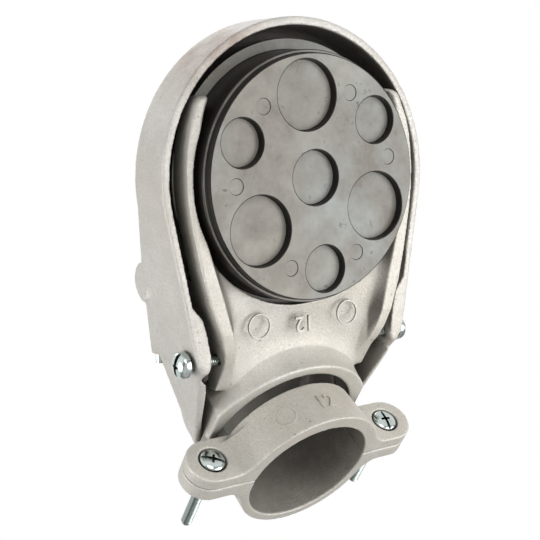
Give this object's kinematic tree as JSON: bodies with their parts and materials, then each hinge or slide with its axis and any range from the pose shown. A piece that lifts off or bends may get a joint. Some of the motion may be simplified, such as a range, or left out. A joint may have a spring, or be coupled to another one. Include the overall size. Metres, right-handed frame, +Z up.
{
  "type": "service entrance weatherhead",
  "caption": "Clamp-on cast weatherhead for rigid conduit, with a screwed hood over a round knockout wire insert and a split collar drawn up by screws.",
  "frame": {"origin": "middle of the collar's bottom end, on the conduit's axis", "axes": "+Z up along the conduit; -Y towards the wire side; +X to the right of someone who faces the wire side"},
  "size_m": [0.1674, 0.2461, 0.1705],
  "materials": {
    "body_casting": "as cast, tumbled",
    "strap_casting": "as cast, tumbled",
    "hood_casting": "as cast, tumbled",
    "insert_plastic": "moulded black, glossy",
    "zinc_steel": "bright zinc plated"
  },
  "bodies": {
    "head": {"body": "body_casting", "knockout_insert": "insert_plastic", "hood": "hood_casting", "edge_pin": "zinc_steel", "hood_screw_left": "zinc_steel", "hood_screw_right": "zinc_steel"},
    "strap": {"clamp_strap": "strap_casting"},
    "left_screw": {"clamp_screw_left": "zinc_steel"},
    "right_screw": {"clamp_screw_right": "zinc_steel"}
  },
  "joints": [
    {"name": "strap_slide", "type": "slide", "parent": "head", "child": "strap", "axis": [0, -1, 0], "range_m": [0, 0.01]},
    {"name": "left_screw_turn", "type": "hinge", "parent": "strap", "child": "left_screw", "pos_m": [-0.0583, -0.0093, 0.0142], "axis": [0, -1, 0], "range_deg": [0, 2835]},
    {"name": "right_screw_turn", "type": "hinge", "parent": "strap", "child": "right_screw", "pos_m": [0.0583, -0.0093, 0.0142], "axis": [0, -1, 0], "range_deg": [0, 2835]}
  ],
  "couplings": [
    {"joint": "left_screw_turn", "follows": "strap_slide", "rad_per_m": 4947},
    {"joint": "right_screw_turn", "follows": "strap_slide", "rad_per_m": 4947}
  ]
}
